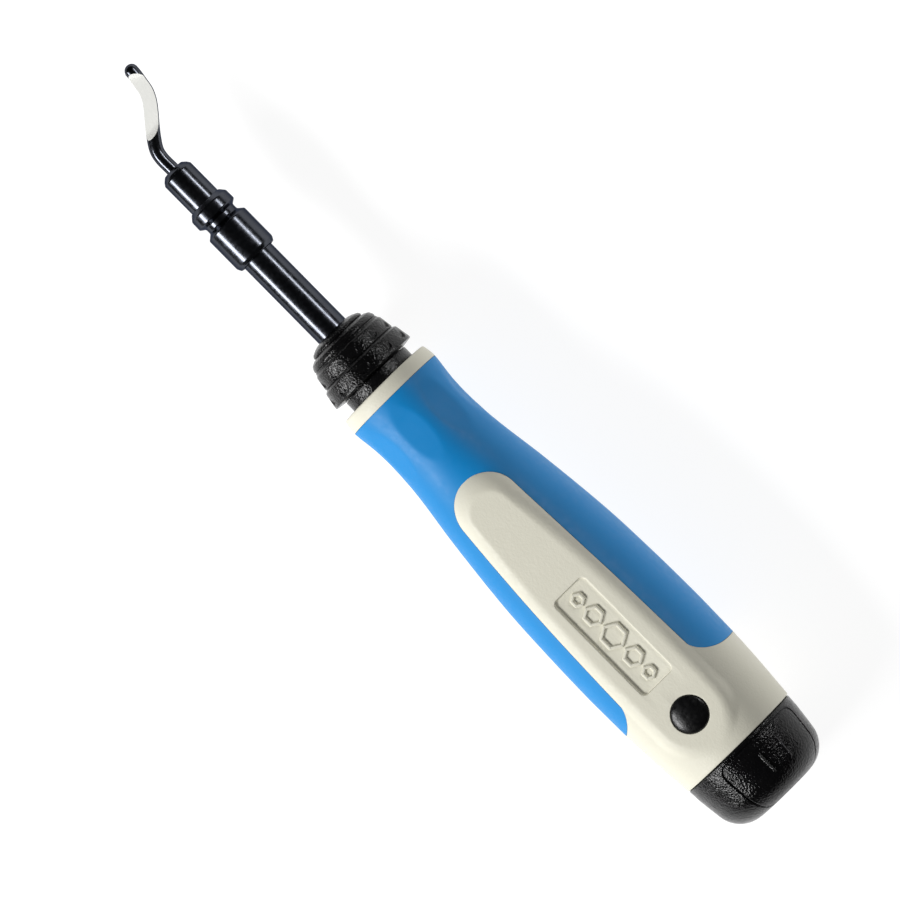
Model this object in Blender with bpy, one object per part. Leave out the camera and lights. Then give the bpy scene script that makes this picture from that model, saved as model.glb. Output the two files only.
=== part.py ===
"""Deburring tool with a swivel hook blade, a telescopic rod and a two-tone handle.

Lengths are in millimetres until add_mesh turns them into metres.  STATION is the
distance along the tool from the front face of the handle, positive towards the cap.
Heights are measured from the tool's axis, which lies AXIS_HEIGHT over the table.
"""
import math

import bmesh
import bpy
from mathutils import Matrix, Vector

MM = 0.001
TIP = -88.24                      # station of the blade's tip
END = 124.14                      # station of the cap's rear face
MIDDLE = (TIP + END) / 2
PAD_HEIGHT = 15.0                 # each flat pad, from the axis
AXIS_HEIGHT = PAD_HEIGHT          # the tool lies on its lower pad
FIT = 0.3                         # gap between pieces that touch
ROUND = 32                        # sides of a large round piece
SMALL = 24                        # sides of a small one
TINY = 16

# Blade and its holder
WIRE = 1.6
BALL = 0.95
BALL_AT = -50.5
GROOVE = 1.15
BARREL = 3.88
BARREL_FRONT = -65.25
SHOULDER = -52.8
SPINDLE = 3.0                     # barrel's reduced rear
ROD = 4.0
ROD_FRONT = -41.6
ROD_REAR = 31.0
ROD_BORE = 2.65

# Handle
SEAM = 109.3                      # core against cap
SKIN = 2.0                        # thickness of the soft grip
NOSE = 3.0                        # length of the bare nose ring
ROD_CHAMBER = 6.6
CHAMBER_END = 54.0
BAY = 11.0
BAY_FRONT = 57.0
PAD_TIP = 27.6                    # front of the pad's outline
PAD_FULL = 35.4                   # where its rounded front reaches full width
FLAT_TIP = 31.7
BUTTON_AT = 97.2
FLAT_ROUND = 7.1                  # radius of the flat's rear end, about the button
PAD_ROUND = 10.0
WELL_FLOOR = 12.2

# Magazine
TRAY = 10.7
TRAY_WALL = 1.4
TRAY_FRONT = 58.5
HEAD_FRONT = 106.0
HEAD_REAR = 109.1
SCREW = 1.5
SCREW_HOLE = 1.65

# Cap
CAP = 14.94
CAP_TURN = math.radians(-27.0)    # the cap stands this far round from the pad
RIB_SLOPE = 0.12                  # the ribs fall towards the rear with the cap's side

# Colours, linear RGB
BLACK_STEEL = (0.02, 0.022, 0.026)
STEEL = (0.5, 0.5, 0.5)
BLACK_PLASTIC = (0.018, 0.018, 0.02)
GREY_PLASTIC = (0.36, 0.34, 0.31)
BLUE_GRIP = (0.015, 0.05, 0.2)
RUBBER = (0.02, 0.02, 0.02)
BRASS = (0.6, 0.42, 0.15)


def clear_scene():
    for item in list(bpy.data.objects):
        bpy.data.objects.remove(item, do_unlink=True)


def material(name, colour, roughness, metallic=0.0):
    made = bpy.data.materials.new(name)
    made.use_nodes = True
    shader = made.node_tree.nodes["Principled BSDF"]
    shader.inputs["Base Color"].default_value = (*colour, 1.0)
    shader.inputs["Roughness"].default_value = roughness
    shader.inputs["Metallic"].default_value = metallic
    return made


def placed(point):
    """A point (station, side, height) in the object's own frame, in metres."""
    station, side, height = point
    return Vector(((station - MIDDLE) * MM, side * MM, (height + AXIS_HEIGHT) * MM))


def add_mesh(name, points, faces, origin):
    """A mesh object from points (station, side, height), its origin at `origin`."""
    home = placed(origin)
    shape = bmesh.new()
    corners = [shape.verts.new(placed(point) - home) for point in points]
    for face in faces:
        shape.faces.new([corners[index] for index in face])
    bmesh.ops.recalc_face_normals(shape, faces=shape.faces[:])
    mesh = bpy.data.meshes.new(name)
    shape.to_mesh(mesh)
    shape.free()
    item = bpy.data.objects.new(name, mesh)
    item.location = home
    bpy.context.collection.objects.link(item)
    return item


def piece(name, solid, origin, look):
    """A finished sub-part: its solid, its origin and its look (colour, roughness, metallic)."""
    points, faces = solid
    item = add_mesh(name, points, faces, origin)
    item.data.materials.append(material(name, *look))
    item.data.shade_smooth()
    item.data.set_sharp_from_angle(angle=math.radians(35))
    return item


def cut(item, label, solid, operation="DIFFERENCE"):
    """Cuts a solid from a sub-part, or joins it on, with a hidden helper object."""
    points, faces = solid
    helper = add_mesh(item.name + "_" + label, points, faces, (0, 0, 0))
    helper.hide_render = True
    helper.display_type = "WIRE"
    step = item.modifiers.new(label, "BOOLEAN")
    step.operation = operation
    step.solver = "EXACT"
    step.object = helper


def clear(radius, sides):
    """Corner radius of a polygonal bore whose sides stand `radius` from its axis."""
    return radius / math.cos(math.pi / sides)


def revolve(profile, sides, axis="station", centre=(0.0, 0.0)):
    """Turns a profile of (along, radius) points.  A profile that starts and ends on the
    axis makes a solid; any other is a closed loop and makes a ring."""
    solid = profile[0][1] == 0
    points = []
    rows = []
    for along, radius in profile:
        row = []
        count = 1 if radius == 0 else sides
        for step in range(count):
            angle = 2 * math.pi * step / sides
            first = centre[0] + radius * math.cos(angle)
            second = centre[1] + radius * math.sin(angle)
            row.append(len(points))
            if axis == "station":
                points.append((along, first, second))
            else:
                points.append((first, second, along))
        rows.append(row)
    pairs = list(zip(rows, rows[1:]))
    if not solid:
        pairs.append((rows[-1], rows[0]))
    faces = []
    for near, far in pairs:
        for step in range(sides):
            after = (step + 1) % sides
            ring = [near[step % len(near)], near[after % len(near)],
                    far[after % len(far)], far[step % len(far)]]
            faces.append(list(dict.fromkeys(ring)))
    return points, faces


def arc(centre, radius, start, end, steps):
    """Points on a circle in a profile's plane, angles in degrees from the along axis."""
    turned = []
    for step in range(steps + 1):
        angle = math.radians(start + (end - start) * step / steps)
        turned.append((centre[0] + radius * math.cos(angle), centre[1] + radius * math.sin(angle)))
    return turned


def tube_along(rings):
    """A solid through equal rings of points, with a flat face on each end."""
    points = [point for ring in rings for point in ring]
    sides = len(rings[0])
    faces = [list(range(sides)), list(range(len(points) - sides, len(points)))]
    for row in range(len(rings) - 1):
        for step in range(sides):
            after = (step + 1) % sides
            faces.append([row * sides + step, row * sides + after,
                          (row + 1) * sides + after, (row + 1) * sides + step])
    return points, faces


def curve(stations, station):
    """Smooth curve through (station, value) pairs, flat beyond the first and the last."""
    if station <= stations[0][0]:
        return stations[0][1]
    if station >= stations[-1][0]:
        return stations[-1][1]
    count = len(stations)
    index = max(i for i in range(count - 1) if stations[i][0] <= station)

    def slope(i):
        before = stations[max(i - 1, 0)]
        after = stations[min(i + 1, count - 1)]
        return (after[1] - before[1]) / (after[0] - before[0])

    (x0, y0), (x1, y1) = stations[index], stations[index + 1]
    width = x1 - x0
    t = (station - x0) / width
    return (y0 * (1 + 2 * t) * (1 - t) ** 2 + slope(index) * width * t * (1 - t) ** 2
            + y1 * t * t * (3 - 2 * t) + slope(index + 1) * width * t * t * (t - 1))


# ---------------------------------------------------------------- blade and holder

# Centre line of the hook: station, side
HOOK = [(-87.2, 8.85), (-85.6, 8.75), (-83.4, 8.4), (-81.3, 8.0), (-79.2, 6.9), (-77.0, 5.35),
        (-74.8, 3.4), (-72.7, 1.8), (-70.5, 0.45), (-68.5, 0.0)]
GROUND_FROM = -84.8
GROUND_TO = -73.2


def ground_height(station):
    """Top of the wire: the ground face is flat near the wire's middle, and runs out
    in a round scoop at each end."""
    inner = min(station - GROUND_FROM, GROUND_TO - station)
    if inner >= 2.2:
        return 0.25
    if inner <= 0:
        return WIRE
    rise = 1 - inner / 2.2
    return 0.25 + (WIRE - 0.25) * rise * rise


def blade_solid(shift=(0.0, 0.0, 0.0)):
    """Hooked blade of round wire with a ground face, a ball groove and a square rear end."""
    shank = [(-66.0, WIRE), (BALL_AT - 1.0, WIRE), (BALL_AT - 0.45, GROOVE), (BALL_AT + 0.45, GROOVE),
             (BALL_AT + 1.0, WIRE), (-46.4, WIRE), (-46.0, WIRE - 0.4)]
    line = [(station, side, WIRE) for station, side in HOOK]
    line += [(station, 0.0, radius) for station, radius in shank]
    tip = [(TIP, 8.87, 0.45), (TIP + 0.25, 8.86, 1.0), (TIP + 0.6, 8.86, 1.38)]
    line = tip + line
    rings = []
    for index, (station, side, radius) in enumerate(line):
        before = line[max(index - 1, 0)]
        after = line[min(index + 1, len(line) - 1)]
        lean = math.atan2(after[1] - before[1], after[0] - before[0])
        ring = []
        for step in range(TINY):
            angle = 2 * math.pi * step / TINY
            across = radius * math.cos(angle)
            height = min(radius * math.sin(angle), ground_height(station))
            ring.append((station - across * math.sin(lean) + shift[0],
                         side + across * math.cos(lean) + shift[1], height + shift[2]))
        rings.append(ring)
    return tube_along(rings)


def build_blade():
    piece("blade", blade_solid(), (BARREL_FRONT, 0, 0), (BLACK_STEEL, 0.25, 1.0))


def build_holder_barrel():
    bore = clear(WIRE + 0.07, SMALL)
    profile = [(-45.5, 0), (-45.5, bore), (BARREL_FRONT, bore), (BARREL_FRONT, 2.3)]
    profile += arc((BARREL_FRONT + 1.9, BARREL - 1.9), 1.9, 150, 90, 3)
    profile += [(SHOULDER, BARREL), (SHOULDER, SPINDLE), (ROD_FRONT - FIT, SPINDLE),
                (ROD_FRONT - FIT, ROD_BORE - 0.1), (-35.0, ROD_BORE - 0.1), (-35.0, 0)]
    item = piece("holder_barrel", revolve(profile, SMALL), (BARREL_FRONT, 0, 0),
                 (BLACK_STEEL, 0.2, 1.0))
    hole = revolve([(-5, 0), (-5, 1.02), (5, 1.02), (5, 0)], TINY, "height")
    across = [(BALL_AT + point[0], point[2], point[1]) for point in hole[0]]
    cut(item, "ball_holes", (across, hole[1]))


def build_lock_balls():
    centre = GROOVE + 0.05 + BALL
    for name, side in (("lock_ball_left", 1), ("lock_ball_right", -1)):
        globe = arc((0, 0), BALL, 180, 0, 8)
        globe = [(along, 0 if step in (0, 8) else radius) for step, (along, radius) in enumerate(globe)]
        points, faces = revolve(globe, 12, "height", (BALL_AT, side * centre))
        piece(name, (points, faces), (BALL_AT, side * centre, 0), (STEEL, 0.15, 1.0))


def build_release_sleeve():
    lip = clear(BARREL + 0.1, ROUND)
    land = clear(SPINDLE + 0.15, ROUND)
    room = clear(ROD + 0.45, ROUND)
    profile = [(-55.3, lip), (-55.3, 4.15), (-54.1, 5.15), (-52.2, 5.2), (-50.9, 4.05), (-49.6, 4.05),
               (-48.5, 5.33), (-40.0, 5.33), (-39.0, 4.8), (-39.0, room), (-48.6, room), (-48.6, land),
               (SHOULDER + FIT, land), (SHOULDER + FIT, 4.35), (-54.3, 4.35), (-54.3, lip)]
    piece("release_sleeve", revolve(profile, ROUND), (-55.3, 0, 0), (BLACK_STEEL, 0.2, 1.0))


def coil(start, end, radius, wire, turns, axis="station", centre=(0.0, 0.0)):
    """Round-wire spring with six-sided wire; its ends lie inside start and end."""
    steps = int(turns * 12)
    rings = []
    for step in range(steps + 1):
        turn = 2 * math.pi * turns * step / steps
        along = start + wire + (end - start - 2 * wire) * step / steps
        ring = []
        for corner in range(6):
            angle = math.pi / 3 * corner
            out = radius + wire * math.cos(angle)
            offset = along + wire * math.sin(angle)
            first = centre[0] + out * math.cos(turn)
            second = centre[1] + out * math.sin(turn)
            ring.append((offset, first, second) if axis == "station" else (first, second, offset))
        rings.append(ring)
    return tube_along(rings)


def build_sleeve_spring():
    solid = coil(-48.3, ROD_FRONT - FIT, 3.55, 0.25, 4.5)
    piece("sleeve_spring", solid, (ROD_FRONT - FIT, 0, 0), (STEEL, 0.3, 1.0))


def build_extension_rod():
    bore = clear(ROD_BORE, SMALL)
    profile = [(ROD_FRONT, bore), (ROD_FRONT, ROD - 0.3), (ROD_FRONT + 0.3, ROD),
               (ROD_REAR - 0.3, ROD), (ROD_REAR, ROD - 0.3), (ROD_REAR, bore)]
    piece("extension_rod", revolve(profile, ROUND), (ROD_FRONT, 0, 0), (BLACK_STEEL, 0.15, 1.0))


def build_rod_stop():
    seat = clear(ROD + 0.1, SMALL)
    rear = ROD_REAR + 2.0
    profile = [(ROD_REAR + FIT, 0), (ROD_REAR + FIT, seat), (28.7, seat), (28.7, ROD_CHAMBER - 0.6),
               (29.1, ROD_CHAMBER - 0.3), (rear, ROD_CHAMBER - 0.3), (rear, 0)]
    piece("rod_stop", revolve(profile, SMALL), (ROD_REAR, 0, 0), (BRASS, 0.35, 1.0))


# ---------------------------------------------------------------- collet

def build_collet_nut():
    profile = [(-16.15, clear(ROD + 0.2, ROUND)), (-16.15, 4.5), (-14.8, 6.75), (-14.05, 6.9),
               (-13.9, 6.6), (-13.75, 7.15), (-12.75, 8.65), (-12.05, 8.85), (-11.95, 8.6),
               (-11.4, 8.9), (-10.95, 9.45), (-7.8, 9.9), (-7.65, 9.6), (-7.5, 9.95), (-7.05, 10.5),
               (-3.65, 11.2), (-3.2, 11.2), (-2.85, 8.8), (-2.85, clear(7.55, ROUND)),
               (-12.1, clear(7.55, ROUND)), (-12.5, 6.45), (-15.1, 5.2), (-15.1, clear(ROD + 0.2, ROUND))]
    piece("collet_nut", revolve(profile, ROUND), (-16.15, 0, 0), (BLACK_PLASTIC, 0.5))


def build_collet():
    profile = [(-14.8, clear(ROD + 0.06, SMALL)), (-14.8, 4.95), (-12.6, 6.05), (-12.2, 6.05),
               (-12.0, 5.6), (-3.5, 5.6), (-3.5, clear(ROD + 0.06, SMALL))]
    item = piece("collet", revolve(profile, SMALL), (-14.8, 0, 0), (BRASS, 0.4, 1.0))
    for label, turn in (("slot_upright", 0.0), ("slot_level", math.pi / 2)):
        side = 0.4 * math.cos(turn) + 9 * math.sin(turn)
        height = 0.4 * math.sin(turn) + 9 * math.cos(turn)
        corners = [(-side, -height), (side, -height), (side, height), (-side, height)]
        cut(item, label, tube_along([[(station, y, z) for y, z in corners] for station in (-16, -5.5)]))


def build_collet_seat():
    mouth = clear(5.75, ROUND)
    bore = clear(ROD + 0.2, ROUND)
    profile = [(-11.9, mouth), (-11.9, 7.1), (-11.6, 7.3), (-2.65, 7.3), (-2.65, 8.66), (-FIT, 8.66),
               (-FIT, 7.8), (1.0, 7.8), (1.0, 6.7), (3.0, 6.7), (3.0, 7.8), (11.7, 7.8), (12.0, 7.5),
               (12.0, bore), (-3.2, bore), (-3.2, mouth)]
    piece("collet_seat", revolve(profile, ROUND), (0, 0, 0), (BLACK_PLASTIC, 0.55))


def ring_seal(name, station, radius, thickness):
    section = arc((station, radius), thickness, 180, -120, 5)
    piece(name, revolve(section, SMALL), (station, 0, 0), (RUBBER, 0.6))


# ---------------------------------------------------------------- handle

SIDE = [(0.0, 11.7), (3.5, 12.14), (8.7, 11.56), (14.0, 11.39), (21.7, 11.78), (34.7, 13.48),
        (52.9, 15.39), (65.9, 16.04), (78.9, 16.33), (88.0, 16.24), (99.0, 15.74), (SEAM, 15.13)]
CROWN = [(0.0, 11.7), (3.5, 12.14), (8.7, 11.56), (14.0, 11.39), (21.7, 11.8), (27.6, 12.6),
         (35.4, 14.3), (52.9, 15.5), (65.9, 15.75), (78.9, 15.85), (88.0, 15.75), (99.0, 15.4),
         (SEAM, 14.88)]
SQUARENESS = [(20.0, 2.0), (40.0, 2.3), (95.0, 2.3), (SEAM, 2.0)]
FLAT_EDGE = [(FLAT_TIP, 2.0), (35.4, 4.8), (46.4, 5.5), (60.0, 6.3), (78.9, 6.9), (BUTTON_AT, 7.1)]
PAD_EDGE = [(PAD_FULL, 7.8), (46.4, 8.5), (57.2, 9.1), (65.9, 9.5), (78.9, 9.9), (BUTTON_AT, PAD_ROUND)]
GRIP_SIDE = 91.3                  # rear end of the soft grip at the handle's side
GRIP_CORNER = 84.6                # and where it meets the pad
QUARTER = 8                       # steps from the crown to the side
PAD_STEPS = 3                     # of which these cross the pad


def end_arc(station, centre, radius):
    return math.sqrt(max(radius ** 2 - (station - centre) ** 2, 0.0))


def pad_edge(station):
    """Half the width of the pad's outline, never nought, so that the grid stays open."""
    if station < PAD_FULL:
        front = PAD_EDGE[0][1]
        return max(end_arc(station, PAD_FULL, front), 1.9)
    if station > BUTTON_AT:
        return max(end_arc(station, BUTTON_AT, PAD_ROUND), 2.6)
    return curve(PAD_EDGE, station)


def flat_edge(station):
    if station > BUTTON_AT:
        width = end_arc(station, BUTTON_AT, FLAT_ROUND)
    elif station < FLAT_TIP:
        width = 0.0
    else:
        width = curve(FLAT_EDGE, station)
    return min(max(width, pad_edge(station) * 0.45), pad_edge(station) * 0.8)


def oval(station, turn):
    """The handle's section without its pads: a superellipse, turn from the crown."""
    power = curve(SQUARENESS, station)
    side = abs(math.sin(turn)) / curve(SIDE, station)
    height = abs(math.cos(turn)) / curve(CROWN, station)
    radius = (side ** power + height ** power) ** (-1 / power)
    return radius * math.sin(turn), radius * math.cos(turn)


def oval_height(station, side):
    power = curve(SQUARENESS, station)
    share = (side / curve(SIDE, station)) ** power
    return curve(CROWN, station) * (1 - share) ** (1 / power)


def pad_rise(station):
    """How far the pad has risen from the oval to its flat: 0 to 1."""
    front = (station - PAD_TIP) / (FLAT_TIP - PAD_TIP)
    rear = (BUTTON_AT + PAD_ROUND - station) / (PAD_ROUND - FLAT_ROUND)
    return min(max(min(front, rear), 0.0), 1.0)


def quarter_section(station, edge):
    """From the crown to the side: the flat, its bevel out to `edge`, then the oval."""
    inner = flat_edge(station)
    rise = pad_rise(station)
    points = []
    for side in (0.0, inner / 2, inner):
        low = oval_height(station, side)
        points.append((side, low + (PAD_HEIGHT - low) * rise))
    start = math.atan2(edge, oval_height(station, edge))
    steps = QUARTER - PAD_STEPS
    for step in range(steps + 1):
        points.append(oval(station, start + (math.pi / 2 - start) * step / steps))
    return points


def whole_section(quarter):
    """The full ring from a quarter, clockwise from the crown."""
    right = quarter + [(y, -z) for y, z in quarter[-2::-1]]
    return right + [(-y, z) for y, z in right[-2:0:-1]]


def grip_rear(height, gap):
    """Station of the soft grip's rear end: square at the side, rounded next to the pad."""
    share = min(abs(height) / 13.0, 1.0)
    return GRIP_SIDE - gap - (GRIP_SIDE - GRIP_CORNER) * share ** 3


def handle_stations(nose):
    front = [0.0, 0.5, nose]
    pad = [8.7, 14.0, 19.0, 24.0, PAD_TIP, 29.0, FLAT_TIP, PAD_FULL, 44.0, 52.9, 62.0, 71.0, 79.5]
    return front + pad


def handle_rings(gap):
    """Section rings of the handle.  `gap` moves the border between core and grip: it is
    negative on the core and positive on the grip.  The ring at the grip's rear is bent."""
    stations = handle_stations(NOSE + gap)
    rings = []
    for station in stations:
        section = whole_section(quarter_section(station, pad_edge(station) + gap))
        rings.append([(station, y, z) for y, z in section])
    flat_ring = whole_section(quarter_section(88.0, pad_edge(88.0) + gap))
    bent = []
    for _, z in flat_ring:
        bent.append(grip_rear(z, gap))
    ring = []
    for index, station in enumerate(bent):
        y, z = whole_section(quarter_section(station, pad_edge(station) + gap))[index]
        ring.append((station, y, z))
    rings.append(ring)
    return rings


def is_grip(row, cell):
    """Whether a grid cell is soft grip.  Row 2 is the nose ring's rear edge."""
    last = len(handle_stations(NOSE))
    if row < 2 or row >= last:
        return False
    from_crown = cell % (2 * QUARTER)
    on_pad = from_crown < PAD_STEPS or from_crown >= 2 * QUARTER - PAD_STEPS
    return not (on_pad and row >= handle_stations(NOSE).index(PAD_TIP))


def inset(point, depth):
    station, y, z = point
    radius = math.hypot(y, z)
    share = 1 - depth / radius
    return (station, y * share, z * share)


def layered(rings, keep, depth, capped):
    """A skin over grid cells.  Cells in `keep` lie on the rings, and the others lie
    `depth` lower if the skin is capped, or are open with an inner skin if it isn't."""
    sides = len(rings[0])
    points = []
    lookup = {}
    faces = []

    def corner(row, step, low):
        key = (row, step % sides, low)
        if key not in lookup:
            lookup[key] = len(points)
            point = rings[row][step % sides]
            points.append(inset(point, depth) if low else point)
        return lookup[key]

    def cell(row, step, low):
        faces.append([corner(row, step, low), corner(row, step + 1, low),
                      corner(row + 1, step + 1, low), corner(row + 1, step, low)])

    def wall(first, second):
        faces.append([corner(*first, False), corner(*second, False),
                      corner(*second, True), corner(*first, True)])

    rows = len(rings) - 1
    for row in range(rows):
        for step in range(sides):
            kept = keep(row, step)
            if kept:
                cell(row, step, False)
            if kept != capped:
                cell(row, step, True)
            if kept and not keep(row, (step + 1) % sides):
                wall((row, step + 1), (row + 1, step + 1))
            if kept and not keep(row, (step - 1) % sides):
                wall((row, step), (row + 1, step))
            if kept and row > 0 and not keep(row - 1, step):
                wall((row, step), (row, step + 1))
            if kept and row < rows - 1 and not keep(row + 1, step):
                wall((row + 1, step), (row + 1, step + 1))
            if kept and not capped and row == rows - 1:
                wall((row + 1, step), (row + 1, step + 1))
    if capped:
        faces.append([corner(0, step, False) for step in range(sides)])
        faces.append([corner(rows, step, False) for step in range(sides)])
    return points, faces


def core_solid():
    rings = handle_rings(-FIT / 2)
    for station in (94.0, BUTTON_AT, 101.0, 104.3, 107.2, SEAM - FIT / 2):
        section = whole_section(quarter_section(station, pad_edge(station)))
        rings.append([(station, y, z) for y, z in section])
    return layered(rings, lambda row, step: not is_grip(row, step), SKIN + FIT, True)


def grip_solid():
    return layered(handle_rings(FIT / 2), is_grip, SKIN, False)


def rounded_box(start, end, half_width, corner, low, high):
    """An upright block with rounded corners, from station start to end."""
    middle = (start + end) / 2
    half_length = (end - start) / 2
    outline = []
    for turn, (sx, sy) in enumerate(((1, 1), (-1, 1), (-1, -1), (1, -1))):
        centre = (middle + sx * (half_length - corner), sy * (half_width - corner))
        outline += arc(centre, corner, 90 * turn, 90 * turn + 90, 3)
    return tube_along([[(x, y, height) for x, y in outline] for height in (low, high)])


def build_handle_core():
    item = piece("handle_core", core_solid(), (0, 0, 0), (GREY_PLASTIC, 0.55))
    nose_bore = clear(8.1, ROUND)
    chamber = clear(ROD_CHAMBER, ROUND)
    bore = [(-2, 0), (-2, nose_bore), (12.3, nose_bore), (12.3, chamber),
            (CHAMBER_END, chamber), (CHAMBER_END, 0)]
    cut(item, "front_bore", revolve(bore, ROUND))
    bay = clear(BAY, ROUND)
    cut(item, "rear_bay", revolve([(BAY_FRONT, 0), (BAY_FRONT, bay), (SEAM + 3, bay), (SEAM + 3, 0)], ROUND))
    well = [(5.0, 0), (5.0, 1.95), (WELL_FLOOR, 1.95), (WELL_FLOOR, 4.4), (20.0, 4.4), (20.0, 0)]
    cut(item, "button_well", revolve(well, SMALL, "height", (BUTTON_AT, 0)))
    cut(item, "badge_recess", rounded_box(59.2, 87.8, 4.6, 1.3, PAD_HEIGHT - 0.7, PAD_HEIGHT + 3))
    badge = revolve([(PAD_HEIGHT - 1.5, 2.0), (PAD_HEIGHT - 1.5, 3.2), (PAD_HEIGHT - 0.25, 3.2),
                     (PAD_HEIGHT - 0.25, 2.0)], 6, "height", (73.5, 0))
    cut(item, "badge", badge, "UNION")


def build_grip_overmould():
    item = piece("grip_overmould", grip_solid(), (0, 0, 0), (BLUE_GRIP, 0.5))
    station = 12.6
    for index in range(8):
        turn = Matrix.Rotation(math.pi / 4 * index, 4, "X")
        globe = arc((0, 0), 1, 180, 0, 6)
        globe = [(x, 0 if step in (0, 6) else r) for step, (x, r) in enumerate(globe)]
        points, faces = revolve(globe, 12)
        centre = curve(SIDE, station) + 0.8
        shaped = []
        for x, y, z in points:
            shaped.append(turn @ Vector((station + 8.2 * x, 3.5 * y, centre + 1.6 * z)))
        cut(item, "dimple_%d" % index, (shaped, faces))


# ---------------------------------------------------------------- button

def build_button():
    under = PAD_HEIGHT - 0.7
    profile = [(8.8, 0), (8.8, 1.4), (9.1, 1.7), (9.9, 1.7), (9.9, 1.2), (10.5, 1.2), (10.5, 1.7),
               (under, 1.7), (under, 4.2), (PAD_HEIGHT, 4.2), (15.45, 3.9), (15.85, 3.1), (16.1, 1.8),
               (16.2, 0)]
    solid = revolve(profile, SMALL, "height", (BUTTON_AT, 0))
    piece("button", solid, (BUTTON_AT, 0, PAD_HEIGHT), (BLACK_PLASTIC, 0.5))
    solid = coil(WELL_FLOOR + 0.1, under - 0.1, 3.0, 0.16, 2.5, "height", (BUTTON_AT, 0))
    piece("button_spring", solid, (BUTTON_AT, 0, WELL_FLOOR), (STEEL, 0.3, 1.0))
    clip = [(10.05, 1.35), (10.05, 2.9), (10.35, 2.9), (10.35, 1.35)]
    piece("button_retainer", revolve(clip, SMALL, "height", (BUTTON_AT, 0)),
          (BUTTON_AT, 0, PAD_HEIGHT), (STEEL, 0.3, 1.0))


# ---------------------------------------------------------------- magazine

def sector(radius_in, radius_out, half_angle, steps):
    """Outline of a trough, open at the top: its half angle is measured from straight down."""
    outline = []
    for radius, sign in ((radius_out, 1), (radius_in, -1)):
        for step in range(steps + 1):
            angle = sign * (half_angle - 2 * half_angle * step / steps)
            outline.append((radius * math.sin(angle), -radius * math.cos(angle)))
    return outline


def build_magazine_tray():
    inner = TRAY - TRAY_WALL
    trough = sector(inner, TRAY, math.radians(105), 20)
    solid = tube_along([[(station, y, z) for y, z in trough] for station in (TRAY_FRONT, HEAD_FRONT + 0.6)])
    item = piece("magazine_tray", solid, (HEAD_FRONT, 0, 0), (BLACK_PLASTIC, 0.6))
    wall = sector(0.0, TRAY - 0.4, math.radians(85), 16)[:17]
    cut(item, "front_wall", tube_along([[(station, y, z) for y, z in wall] for station in (58.9, 60.2)]),
        "UNION")
    head = [(HEAD_FRONT, SCREW_HOLE), (HEAD_FRONT, TRAY - 0.05), (107.2, TRAY - 0.05), (107.2, 9.5),
            (108.4, 9.5), (108.4, TRAY - 0.05), (HEAD_REAR, TRAY - 0.05), (HEAD_REAR, SCREW_HOLE)]
    cut(item, "head", revolve(head, ROUND), "UNION")


def build_spare_blades():
    for index in range(2):
        shift = (148.9, -4.4, -5.5 + 3.5 * index)
        piece("spare_blade_%d" % (index + 1), blade_solid(shift), (HEAD_FRONT, 0, 0),
              (STEEL, 0.25, 1.0))


# ---------------------------------------------------------------- cap

def cap_outline():
    """Outer profile from the seam round to the flat end."""
    side = [(SEAM + 0.15, CAP - 0.3), (SEAM + 0.45, CAP), (114.5, 14.6), (118.6, 13.95)]
    return side + arc((118.6, 8.45), 5.5, 72, 0, 4) + [(END, 7.6)]


def curved_frame(start, end, half_angle, middle, low, high, width):
    """A closed band round a rectangle on the cap's side, for the groove round a grip panel."""
    rings = []
    for grow in (0.0, width):
        outline = []
        corner = 1.6
        sweep = half_angle * CAP
        for turn, (sx, sy) in enumerate(((1, 1), (-1, 1), (-1, -1), (1, -1))):
            centre = ((start + end) / 2 + sx * ((end - start) / 2 - corner), sy * (sweep - corner))
            outline += arc(centre, corner - grow, 90 * turn, 90 * turn + 90, 3)
        spread = []
        for index, (x, along) in enumerate(outline):
            spread.append((x, along))
            following = outline[(index + 1) % len(outline)]
            if abs(following[1] - along) > 3:
                for part in range(1, 8):
                    spread.append((x, along + (following[1] - along) * part / 8))
        rings.append(spread)
    points = []
    faces = []
    count = len(rings[0])
    for radius in (low, high):
        for ring in rings:
            for x, along in ring:
                angle = middle + along / CAP
                points.append((x, radius * math.sin(angle), radius * math.cos(angle)))
    for index in range(count):
        after = (index + 1) % count
        for a, b in ((0, 1), (1, 3), (3, 2), (2, 0)):
            faces.append([a * count + index, a * count + after, b * count + after, b * count + index])
    return points, faces


def build_end_cap():
    hollow = [(119.0, 0), (119.0, SCREW_HOLE), (HEAD_REAR + FIT, SCREW_HOLE), (HEAD_REAR + FIT, 3.2),
              (121.5, 3.2), (121.5, 8.0), (118.5, 11.9), (SEAM + 0.15, 12.9)]
    profile = hollow + cap_outline() + [(END, 0)]
    item = piece("end_cap", revolve(profile, ROUND), (SEAM, 0, 0), (BLACK_PLASTIC, 0.55))
    for index in range(2):
        middle = CAP_TURN + math.pi * index
        frame = curved_frame(110.4, 117.9, math.radians(46), middle, 14.2, 17.0, 0.45)
        cut(item, "panel_groove_%d" % index, frame)
        for rib, offset in enumerate((-10.4, 10.4)):
            turn = Matrix.Rotation(-(middle + math.radians(offset)), 4, "X")
            points, faces = rounded_box(112.2, 117.4, 0.55, 0.5, 13.0, CAP + 0.1)
            sloped = [(x, y, z - (x - 112.2) * RIB_SLOPE) for x, y, z in points]
            shaped = [turn @ Vector(point) for point in sloped]
            cut(item, "rib_%d_%d" % (index, rib), (shaped, faces), "UNION")


def build_cap_screw():
    head = [(103.5, 0), (103.5, 2.3), (103.9, 2.7), (105.0, 2.7), (105.0, SCREW), (118.4, SCREW),
            (118.7, SCREW - 0.4), (118.7, 0)]
    piece("cap_screw", revolve(head, TINY), (SEAM, 0, 0), (STEEL, 0.3, 1.0))
    washer = [(105.2, SCREW_HOLE), (105.2, 3.4), (105.7, 3.4), (105.7, SCREW_HOLE)]
    piece("cap_washer", revolve(washer, TINY), (SEAM, 0, 0), (STEEL, 0.3, 1.0))


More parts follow.
